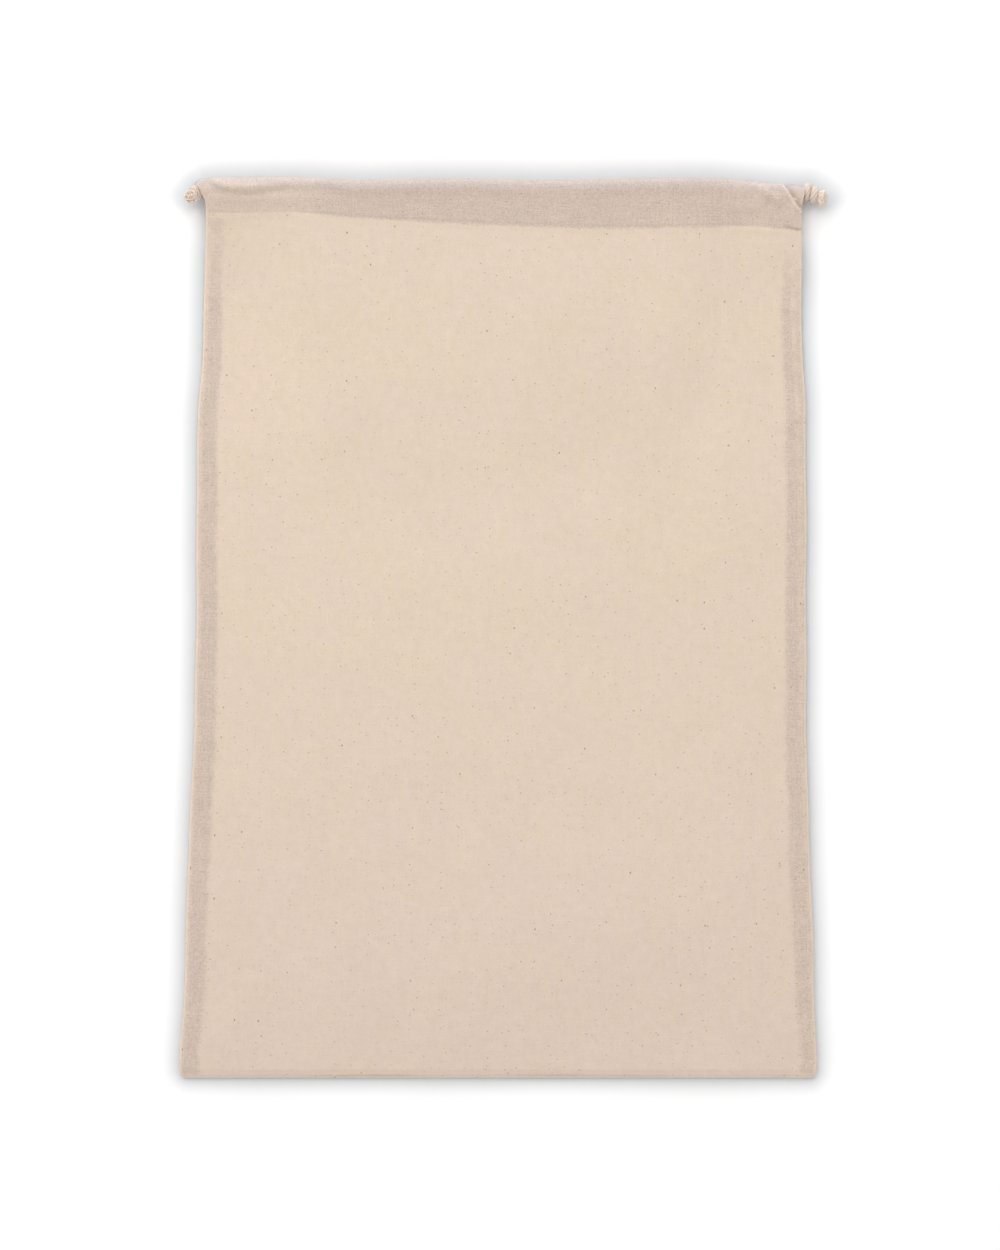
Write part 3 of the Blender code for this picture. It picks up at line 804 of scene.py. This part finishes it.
def doubledCloth(x, y):  # 1 where allowances or a casing lie under the cloth
    edge, left = fromSide(x, y), leftEnd(x)
    band = [through(bandTable, n)(y) for n in range(1, 5)]
    start, end = np.where(x < 0, band[:2], band[2:])
    top = np.where(x < 0, *doubling["bandTop"])
    roll, rest = rise(edge, *doubling["roll"]), rise(edge - start, *doubling["bandStart"])
    band = (1 - rise(edge - end, *doubling["bandEnd"])) * blend(rest, roll, doubling["rollShare"])
    band *= ease((top - y) / doubling["bandTopFade"])
    band *= rise(y - bag["bottomY"], *doubling["bandBottom"])
    band *= stepped(y, *doubling["band"]) - doubling["rightLess"] * (x > 0)
    line = stitchLine(x) - doubling["casingSag"] * left + softLine(x, *doubling["casingDip"])
    plain, more = doubling["casingFade"]
    casing = rise(y - line, doubling["casingFrom"], plain + more * left)
    casing *= 1 - doubling["casingLess"] * left
    side, pressed = tuck(x, y, folds["tuckReach"])
    casing *= 1 - doubling["tuckLess"] * ease(side / doubling["tuckStep"]) * pressed
    return np.maximum(band, casing)


def topFold(x, y):  # 1 along the top, where the casing turns over
    return 1 - rise(topEdge(x) - y, *doubling["topFold"])


def makeBagCloth():
    rows = clothRows()
    half = bag["thickness"] / 2
    proud = solidHalf - half  # the cloth that shows lies along the solid's outer faces
    # closer together by the sides
    wall = spaced(bag["columns"], lambda s: 0.6 + 3.6 * rise(0.5 - np.abs(s - 0.5), 0.065, 0.1))
    turns = [math.pi * n / bag["seamTurns"] for n in range(1, bag["seamTurns"])]
    allowance = [*bag["insideColumns"], bag["allowance"]]
    columns = [(0.0, a, math.pi, -1) for a in reversed(allowance)]
    columns += [(0.0, 0.0, turn, -1) for turn in [math.pi] + turns[::-1]]
    columns += [(share, 0.0, 0.0, 0) for share in wall]
    columns += [(1.0, 0.0, turn, 1) for turn in turns + [math.pi]]
    columns += [(1.0, -a, math.pi, 1) for a in allowance]
    share, extra, turn, side = (np.array(values) for values in zip(*columns))

    base = np.zeros((len(rows), len(columns), 3))
    foldRadius = np.zeros((len(rows), 1))
    for n, (place, down, setback) in enumerate(rows):
        inCasing = place not in (frontPanel, bottomFold, backPanel)
        foldRadius[n] = bag["foldRadius"][inCasing]
        reach = setback + foldRadius[n] + half
        y = place(0.0 * share, down)[0]
        for _ in range(3):  # the sides follow the height, which follows the line across
            left, right = leftEdge(y) + reach, rightEdge(y) - reach
            x = left + (right - left) * share + extra
            y, z = place(x, down)
        base[n] = np.stack([x, y, z], axis=-1)

    along = np.gradient(base, axis=0)
    face = np.cross(along, (1.0, 0.0, 0.0))
    face /= np.linalg.norm(face, axis=-1, keepdims=True)
    isFront = np.array([place in (frontFold, frontCasing, frontPanel) for place, _, _ in rows])[:, None]
    x, y = base[..., 0], base[..., 1]
    # the relief fades away over the mouth's fold
    fading = np.array([0.5 + 0.5 * math.cos(math.pi * down) if place is frontFold else 1.0
                       for place, down, _ in rows])[:, None]
    relief = np.where(isFront, frontRelief(x, y) * fading, 0.0)
    lift = proud + relief - foldRadius * (1 - np.cos(turn))
    points = base + face * lift[..., None]
    points[..., 0] += side * foldRadius * np.sin(turn)

    cutY = travelled(points[:, len(columns) // 2])
    cutX = travelled(points[len(rows) // 2])
    # painted light and shade, on the front cloth only
    worn = np.where(isFront, paintedLightAndShade(x, y), 0.0)
    shades = {"doubled": doubledCloth(x, y), "ridge": topFold(x, y), "worn": worn}

    bm = bmesh.new()
    bmesh.ops.create_grid(bm, x_segments=len(columns) - 1, y_segments=len(rows) - 1, size=1.0)
    shades = [(bm.verts.layers.float.new(name), values) for name, values in shades.items()]
    flat = bm.loops.layers.uv.new("cut")
    place = {}
    for vert in bm.verts:
        column, row = (round((at + 1) / 2 * (len(lines) - 1))
                       for at, lines in zip(vert.co, (columns, rows)))
        place[vert] = (float(cutX[column]), float(cutY[row]))
        for layer, values in shades:
            vert[layer] = float(values[row, column])
        vert.co = points[row, column]
    for face in bm.faces:
        for loop in face.loops:
            loop[flat].uv = place[loop.vert]
    bmesh.ops.reverse_faces(bm, faces=bm.faces)
    cloth = meshObject("bagCloth", bm, calicoCloth)
    solidify = cloth.modifiers.new("thickness", "SOLIDIFY")
    solidify.thickness = bag["thickness"]
    solidify.offset = 0.0
    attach(cloth, "root")
    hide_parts("bag_cloth")
    return cloth, (float(cutX[-1]), float(cutY[-1]))


bagCloth, cutSize = makeBagCloth()
print(f"bag cloth, cut {cutSize[0]:.3f} x {cutSize[1]:.3f} m")


# two soft cotton drawcords, each with its ends at its own side

cord = {
    "radius": 0.0014,
    "strands": 6,
    "strandSteps": 4,
    "groove": 0.13,  # share of the radius
    "twistPitch": 0.013,
    "spacing": 0.0009,
    "bightInset": 0.0115,
    "reachIn": 0.0022,
    "gather": 0.011,  # over which the two runs come together at the knot
    "runSpread": 0.0015,
    "clear": 0.0001,  # over the inner layer it lies on
    "turnY": 0.2238,
    "routeSteps": (160, 14),  # along a casing, round the turn
    "knotLength": 0.0135,
    "knotSteps": 24,
    "coreRadius": 0.0021,
    "tone": (0.69, 0.59, 0.522),
    # painted shade in the grooves between the strands
    "grooveTone": (0.56, 0.44, 0.35),
    "endTone": (0.9, 0.785, 0.685),  # of the cut ends: paler loose fibres, with a painted highlight where single fibres catch the light
    "level": 0.96,
    "worn": (0.55, 0.12),  # noise per mm, weight
    "fibre": 3.2,
    "fibreTone": 0.1,
}
knotTable = {  # the left knot's value, then the right one's
    "start": ((-0.1489, 0.2191), (0.1509, 0.2186)),
    "heading": (200.0, -4.0),  # degrees
    "bend": (45.0, -14.0),  # over the whole knot
    "lift": (76.0, 4.0),
    "shear": (0.0, 0.2),
    "scale": (0.69, 0.84),
    "wrapRadius": (0.00145, 0.00195),
    "coilRadius": (0.0026, 0.0028),
    "wrapFrom": (0.0008, 0.003),
    "wrapPitch": (0.0036, 0.0041),
    "tuftFrom": (0.0056, 0.0089),
    "tuftTo": (0.014, 0.0161),
    "tuftWidth": (0.0029, 0.0036),
    "tuftHeight": (0.0029, 0.0028),
    "dome": (0.0012, 0.0026),
    "flare": (0.3, 0.36),
    "yarns": (190, 210),
    "hairs": (160, 220),
    # how much of the cut ends' pale tone and painted highlight each knot takes
    "fluff": (1.0, 0.8),
    "seed": (4, 9),
    "shadow": (  # circles that its painted shadow on the paper starts from
        [(-0.1546, 0.2158, 0.003), (-0.1515, 0.2192, 0.003)],
        [(0.1545, 0.2177, 0.004), (0.159, 0.216, 0.0035), (0.1622, 0.2142, 0.003)],
    ),
}
knots = {word: {key: pair[n] for key, pair in knotTable.items()}
         for n, word in enumerate(("left", "right"))}
fray = {  # pairs are for the yarns and for the loose fibres
    "thick": ((0.00022, 0.00034), (0.00003, 0.00005)),
    "taper": (0.2, 0.75),
    "wider": (0.0, 0.16),
    "longer": 0.001,
    "root": 0.002,  # from the tuft's end down
    "uneven": (-0.0006, 0.0002),
    "steps": 5,
    "curl": 0.5,
    "stray": 0.08,
    "waver": 0.04,
    "waist": 0.72,  # of the tuft, where it leaves the knot
}


def cottonFinish():
    material, board = newFinish("cottonCord")
    place = board.scaled(board.place(), 1000.0)  # mm
    fibre = board.noise(place, cord["fibre"], 3.0, 0.65)
    tone = cord["level"] + board.uneven(place, *cord["worn"]) + fibre * cord["fibreTone"]
    # painted shade in the grooves between the strands
    colour = board.mix(board.attribute("hollow"), cord["tone"], cord["grooveTone"])
    # pale cut ends, with a painted highlight
    colour = board.mix(board.attribute("fluffy"), colour, cord["endTone"])
    board.surface({
        "Base Color": board.scaled(colour, tone),
        "Roughness": 0.84 + fibre * 0.12,
        "Normal": board.bump(fibre, 0.5, 0.00025),
        "Specular IOR Level": 0.25,
        "Sheen Weight": 0.25,
        "Sheen Roughness": 0.45,
    })
    return material


cottonCord = cottonFinish()


def strandSection(radius):  # the outline of a cord laid up from strands
    curve = bpy.data.curves.new("cordSection", "CURVE")
    curve.dimensions = "2D"
    ring = curve.splines.new("POLY")
    count = cord["strands"] * cord["strandSteps"]
    ring.points.add(count - 1)
    for n, point in enumerate(ring.points):
        turn = 2 * math.pi * n / count
        out = radius * (1 - cord["groove"] * (1 - abs(math.cos(cord["strands"] * turn / 2)) ** 0.8))
        point.co = (out * math.cos(turn), out * math.sin(turn), 0.0, 1.0)
    ring.use_cyclic_u = True
    return addObject("cordSection", curve)


def evenly(points, spacing):  # the same line with points at equal distances
    points = np.array(points)
    passed = travelled(points)
    marks = np.linspace(0.0, passed[-1], max(2, round(passed[-1] / spacing)))
    return np.stack([np.interp(marks, passed, points[:, n]) for n in range(3)], axis=-1)


def newCurve(name):
    curve = bpy.data.curves.new(name, "CURVE")
    curve.dimensions = "3D"
    curve.use_fill_caps = True
    return curve


def laidCord(name, points, radius, ends=1.0):  # a twisted cord along a line
    line = evenly(points, cord["spacing"])
    section = strandSection(radius)
    curve = newCurve(name)
    curve.twist_mode = "MINIMUM"
    curve.bevel_mode = "OBJECT"
    curve.bevel_object = section
    spline = curve.splines.new("POLY")
    spline.points.add(len(line) - 1)
    for n, (point, place) in enumerate(zip(spline.points, line)):
        point.co = (*place, 1.0)
        point.tilt = 2 * math.pi * n * cord["spacing"] / cord["twistPitch"]
        point.radius = ends if n in (0, len(line) - 1) else 1.0
    made = curveMesh(name, curve)
    bpy.data.objects.remove(section)
    mesh = made.data
    # how deep in a groove each point lies, for the painted shade there
    mesh.attributes.new("hollow", "FLOAT", "POINT")
    nearest = KDTree(len(line))
    for n, place in enumerate(line):
        nearest.insert(place, n)
    nearest.balance()
    for vert, value in zip(mesh.vertices, mesh.attributes["hollow"].data):
        away = nearest.find(vert.co)[2]
        value.value = float(np.clip((radius - away) / (radius * cord["groove"]), 0.0, 1.0))
    return made


def knotFrame(knot, along):  # a place on a knot's bending line, with its three directions
    x, y = knot["start"]
    height = (solidHalf + bag["tunnel"] + float(frontInner(x, 0.0))) / 2
    place = Vector((x, y, height))
    steps = cord["knotSteps"]
    for step in range(steps + 1):
        share = step / steps * along / cord["knotLength"]
        heading = math.radians(knot["heading"] + knot["bend"] * share)
        lift = math.radians(knot["lift"] * share)
        level = math.cos(lift)
        forward = Vector((math.cos(heading) * level, math.sin(heading) * level, math.sin(lift)))
        if step < steps:
            place += forward * knot["scale"] * along / steps
    across = Vector((-math.sin(heading), math.cos(heading), 0.0))
    place -= across * knot["shear"] * knot["scale"] * along
    return place, across, forward.cross(across), forward


def cordRoute(word):  # along the front casing, round at the far side and back in the back casing
    side = -1 if word == "left" else 1
    depth = lowerCord if side < 0 else upperCord
    knot = knots[word]
    ownEnd = knot["start"][0] + side * cord["reachIn"]
    backZ = solidHalf + bag["tunnel"] / 2
    farEdge = float((rightEdge if side < 0 else leftEdge)(cord["turnY"]))
    farX = farEdge + side * cord["bightInset"]
    proud = cord["radius"] + cord["clear"]
    radius = (float(frontInner(farX, 0.0)) + proud - backZ) / 2
    turnX = farX + side * radius
    straight, bend = cord["routeSteps"]
    x = np.linspace(ownEnd, turnX, straight)
    y = topEdge(x) - depth(x)
    together = 1 - ease(np.abs(x - ownEnd) / cord["gather"])
    height = knotFrame(knot, 0.0)[0].z
    y = blend(y, knot["start"][1], together)
    frontZ = frontInner(x, 0.0) + proud
    frontZ = blend(frontZ, height + cord["runSpread"], together)
    backZs = blend(backZ, height - cord["runSpread"], together)
    route = list(zip(x, y, frontZ))
    for turn in np.linspace(0.0, math.pi, bend)[1:-1]:
        height = backZ + radius * (1 + math.cos(turn))
        route.append((turnX - side * radius * math.sin(turn), y[-1], height))
    return route + list(zip(x, y, backZs))[::-1]


def frayedEnds(name, knot):  # yarns and loose fibres at a knot's cut ends
    draw = random.Random(knot["seed"])
    curve = newCurve(name)
    curve.bevel_depth = 1.0
    curve.bevel_resolution = 0
    for n in range(knot["yarns"] + knot["hairs"]):
        hair = n >= knot["yarns"]
        thick = draw.uniform(*fray["thick"][hair])
        turn = draw.uniform(0.0, 2 * math.pi)
        out = draw.uniform(0.7, 1.0) if hair else math.sqrt(draw.random())
        reach = knot["tuftTo"] - knot["dome"] * out ** 2 + draw.uniform(*fray["uneven"])
        start = knot["tuftFrom"]
        if hair:
            reach += draw.uniform(0.0, fray["longer"])
            start = draw.uniform(start, knot["tuftTo"] - fray["root"])
        curl = draw.uniform(-fray["curl"], fray["curl"])
        spline = curve.splines.new("POLY")
        spline.points.add(fray["steps"] - 1)
        for step, point in enumerate(spline.points):
            share = step / (fray["steps"] - 1)
            place, across, upright, _ = knotFrame(knot, blend(start, reach, share))
            angle = turn + curl * share + draw.uniform(-fray["stray"], fray["stray"])
            wide = out * (fray["waist"] + (1 - fray["waist"] + knot["flare"]) * share * share)
            wide += fray["wider"][hair] * share * share
            wide *= 1.0 + draw.uniform(-fray["waver"], fray["waver"])
            place += across * knot["tuftWidth"] * wide * math.cos(angle)
            place += upright * knot["tuftHeight"] * wide * math.sin(angle)
            point.co = (*place, 1.0)
            point.radius = thick * (1 - fray["taper"][hair] * share ** 3)
    made = curveMesh(name, curve)
    # pale cut ends with a painted highlight
    for value in made.data.attributes.new("fluffy", "FLOAT", "POINT").data:
        value.value = knot["fluff"]
    return made


def wrappedCoil(knot):  # two level turns round the knot's line, that cross over underneath
    points = []
    turns, end, tucked, drift = 2.15, 0.1, 0.35, 0.1
    for share in np.linspace(0.0, 1.0, 130):
        angle = 2 * math.pi * turns * share - math.pi / 2
        level = float(ease(share / end) * ease((1 - share) / end))
        crossed = float(rise(share * turns, 0.78, 0.44)) + drift * (share - 0.5)
        place, across, upright, _ = knotFrame(knot, knot["wrapFrom"] + knot["wrapPitch"] * crossed)
        out = knot["coilRadius"] * blend(tucked, 1.0, level)
        points.append(place + out * (across * math.cos(angle) + upright * math.sin(angle)))
    return points


def addPod(bm, around, rings, shape):
    bmesh.ops.create_uvsphere(bm, u_segments=around, v_segments=rings, radius=1.0, matrix=shape)


def tuftHeart(knot):  # the close-packed middle of the cut ends
    start = knotFrame(knot, knot["tuftFrom"])[0]
    place, across, upright, forward = knotFrame(knot, (knot["tuftFrom"] + knot["tuftTo"]) / 2)
    wide, long = 0.9, 0.66  # shares of the tuft
    half = (place - start).length * long
    turn = Matrix((across, upright, forward)).transposed().to_4x4()
    sizes = Matrix.Diagonal((knot["tuftWidth"] * wide, knot["tuftHeight"] * wide, half, 1.0))
    bm = bmesh.new()
    addPod(bm, 24, 14, Matrix.Translation(place) @ turn @ sizes)
    return meshObject("heart", bm)


def joined(name, pieces, finish):  # several meshes as one
    bm = bmesh.new()
    for piece in pieces:
        bm.from_mesh(piece.data)
        mesh = piece.data
        bpy.data.objects.remove(piece)
        bpy.data.meshes.remove(mesh)
    bmesh.ops.recalc_face_normals(bm, faces=bm.faces)
    return meshObject(name, bm, finish)


for word in knots:
    name = "drawcord" + word.capitalize()
    drawcord = laidCord(name, cordRoute(word), cord["radius"])
    drawcord.data.materials.append(cottonCord)
    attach(drawcord, "root")
    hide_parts("drawcord_" + word)
print("drawcords")

for word, knot in knots.items():
    coil = laidCord("coil", wrappedCoil(knot), knot["wrapRadius"], ends=0.5)
    steps = np.linspace(-0.0006, knot["tuftFrom"] + 0.002, 12)
    core = laidCord("core", [knotFrame(knot, along)[0] for along in steps], cord["coreRadius"])
    pieces = [coil, core, tuftHeart(knot), frayedEnds("ends", knot)]
    made = joined("knot" + word.capitalize(), pieces, cottonCord)
    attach(made, "root")
    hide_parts("knot_" + word)
print("knots")


# sewing: the row that closes each casing, and the thread that shows at the side seams

sewing = {
    "pitch": 0.003,
    "length": 0.0024,
    "thick": 0.00034,
    "aboveLine": 0.001,
    "wander": 0.00012,
    "sunk": 0.00006,
    "span": (-0.1455, 0.149),  # x
    "backHeight": 0.0001,
    "backShare": 0.6,  # of the thread, on the back
    "seamPitch": 0.0025,
    "seamThick": 0.00022,
    "seamHeights": (0.00075, 0.00195),
    "seamInset": 0.00034,
    "seamSpan": (-0.2208, 0.196),  # y
    "seamSlant": (0.0002, 0.0006),
    "seamUneven": (0.92, 1.08),
    "tone": (0.7, 0.6, 0.5),
    "shadeTone": (0.54, 0.44, 0.35),
    "plies": (9.0, 0.6),  # turn per mm, shade
    "grain": (0.8, 0.12),  # noise per mm, weight
}


def threadFinish():
    material, board = newFinish("sewingThread")
    place = board.scaled(board.place(), 1000.0)  # mm
    turn, shade = sewing["plies"]
    plies = ((board.part(place, "X") + board.part(place, "Y")) * turn).sine().size()
    colour = board.mix(plies * shade, sewing["tone"], sewing["shadeTone"])
    board.surface({
        "Base Color": board.scaled(colour, 1.0 + board.uneven(place, *sewing["grain"])),
        "Roughness": 0.72 + plies * 0.1,
        "Specular IOR Level": 0.3,
    })
    return material


sewingThread = threadFinish()


def frontSkin(x, y):  # height of the front casing's outer face
    return float(frontOuter(x, topEdge(x) - y) + solidHalf + frontRelief(np.array(x), np.array(y)))


def sewnThread(bm, start, end, thick):  # one stitch that shows
    start, end = Vector(start), Vector(end)
    middle, along = (start + end) / 2, end - start
    turn = along.to_track_quat("X", "Z").to_matrix().to_4x4()
    sizes = Matrix.Diagonal((along.length / 2, thick / 2, thick / 2, 1.0))
    addPod(bm, 6, 4, Matrix.Translation(middle) @ turn @ sizes)


def makeCasingStitches():
    draw = random.Random(12)
    bm = bmesh.new()
    first, last = sewing["span"]
    for n in range(int((last - first) / sewing["pitch"])):
        start = first + sewing["pitch"] * n
        ends = []
        for x in (start, start + sewing["length"]):
            wander = draw.uniform(-sewing["wander"], sewing["wander"])
            ends.append((x, float(stitchLine(x)) + sewing["aboveLine"] + wander))
        front = [(x, y, frontSkin(x, y) - sewing["sunk"]) for x, y in ends]
        sewnThread(bm, *front, sewing["thick"])
        back = [(x, y, sewing["backHeight"]) for x, y in ends]
        sewnThread(bm, *back, sewing["thick"] * sewing["backShare"])
    stitches = meshObject("casingStitches", bm, sewingThread)
    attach(stitches, "root")
    return stitches


def makeSeamThreads():
    draw = random.Random(21)
    bm = bmesh.new()
    low, high = sewing["seamHeights"]
    for edge, side in ((leftEdge, 1), (rightEdge, -1)):
        y, last = sewing["seamSpan"]
        while y < last:
            x = float(edge(y)) + side * sewing["seamInset"]
            slant = draw.uniform(*sewing["seamSlant"])
            sewnThread(bm, (x, y, low), (x, y + slant, high), sewing["seamThick"])
            y += sewing["seamPitch"] * draw.uniform(*sewing["seamUneven"])
    threads = meshObject("seamThreads", bm, sewingThread)
    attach(threads, "root")
    return threads


casingStitches = makeCasingStitches()
seamThreads = makeSeamThreads()
print("sewing")


# pale paper under the bag, with a soft shadow painted along the bag's edge

paper = {
    "tone": 0.98,
    "grain": (900.0, 0.01),  # noise per metre, weight
    "height": -0.0002,
    "half": (0.186, 0.246),  # of the part that takes the shadow
    "cells": (150, 200),
    "spread": (32.0, 24.0),  # how much further off its outermost rows lie
    "sides": (-0.2238, 0.2215, 220),  # the bag's outline: from, to, points
    "bottom": (-0.157, 0.156, 160),
    "mouth": (-0.1475, 0.15, 150),
    "reach": (0.0155, 0.003),  # of the soft shadow, and how much further it goes on the mouth's side
    "start": (0.12, -0.09),  # where on the list below it starts, and how much earlier on that side
    "sideSpan": 0.23,  # y at which the mouth's side is full
    "shadow": [  # share of the reach, and the paper's share of its own tone there
        (0.00, (0.43, 0.45, 0.465)),
        (0.06, (0.56, 0.58, 0.598)),
        (0.12, (0.66, 0.682, 0.704)),
        (0.21, (0.71, 0.728, 0.745)),
        (0.31, (0.765, 0.776, 0.788)),
        (0.41, (0.824, 0.83, 0.838)),
        (0.52, (0.883, 0.885, 0.889)),
        (0.63, (0.93, 0.93, 0.932)),
        (0.74, (0.965, 0.965, 0.965)),
        (0.85, (0.985, 0.985, 0.985)),
        (1.00, (1.0, 1.0, 1.0)),
    ],
    # the painted shadow is lighter under the knots, whose own shadow does part of the work
    "underKnots": [(0.157, 0.5), (-0.157, 0.28)],
    "under": (0.2065, 0.014, 0.016, 0.006),  # y, and how far it goes sideways, down and up
}


def bagOutline():
    y, x, mouth = (np.linspace(*paper[part]) for part in ("sides", "bottom", "mouth"))
    lines = [(leftEdge(y), y), (rightEdge(y), y), (x, 0 * x + bag["bottomY"]), (mouth, topEdge(mouth))]
    turn = np.linspace(0.0, 2 * math.pi, 40)
    for knot in knots.values():
        for x, y, radius in knot["shadow"]:
            lines.append((x + radius * np.cos(turn), y + radius * np.sin(turn)))
    return np.concatenate([np.stack(line, axis=-1) for line in lines])


def makeFloor():
    material, board = newFinish("palePaper")
    # the painted shadow: darker the nearer the bag
    tone = board.add("ShaderNodeValToRGB", {"stops": paper["shadow"]}, {0: board.attribute("away")})
    grain = 1.0 + board.uneven(board.place(), *paper["grain"])
    board.surface({
        "Base Color": board.scaled(tone, grain * paper["tone"]),
        "Roughness": 0.9,
        "Specular IOR Level": 0.2,
    })
    bm = bmesh.new()
    columns, rows = paper["cells"]
    bmesh.ops.create_grid(bm, x_segments=columns, y_segments=rows, size=1.0)
    layer = bm.verts.layers.float.new("away")
    outline = bagOutline()
    middle, wide, down, above = paper["under"]
    for vert in bm.verts:
        x, y = (share * half for share, half in zip(vert.co, paper["half"]))
        inside = bag["bottomY"] < y < topEdge(x) and leftEdge(y) < x < rightEdge(y)
        away = 0.0 if inside else float(np.hypot(outline[:, 0] - x, outline[:, 1] - y).min())
        up = min(max(y / paper["sideSpan"], -1.0), 1.0)
        reach, start = (level + more * up for level, more in (paper["reach"], paper["start"]))
        under = bell(y - middle, down if y < middle else above)
        lit = under * sum(more * bell(x - side, wide) for side, more in paper["underKnots"])
        vert[layer] = float(min(start + (1 - start) * min(away / reach, 1.0) + lit, 1.0))
        # the outermost rows lie far off
        x, y = (at * more if abs(share) > 0.999 else at
                for share, at, more in zip(vert.co, (x, y), paper["spread"]))
        vert.co = (x, y, paper["height"])
    floor = meshObject("floor", bm, material)


makeFloor()
print("floor")
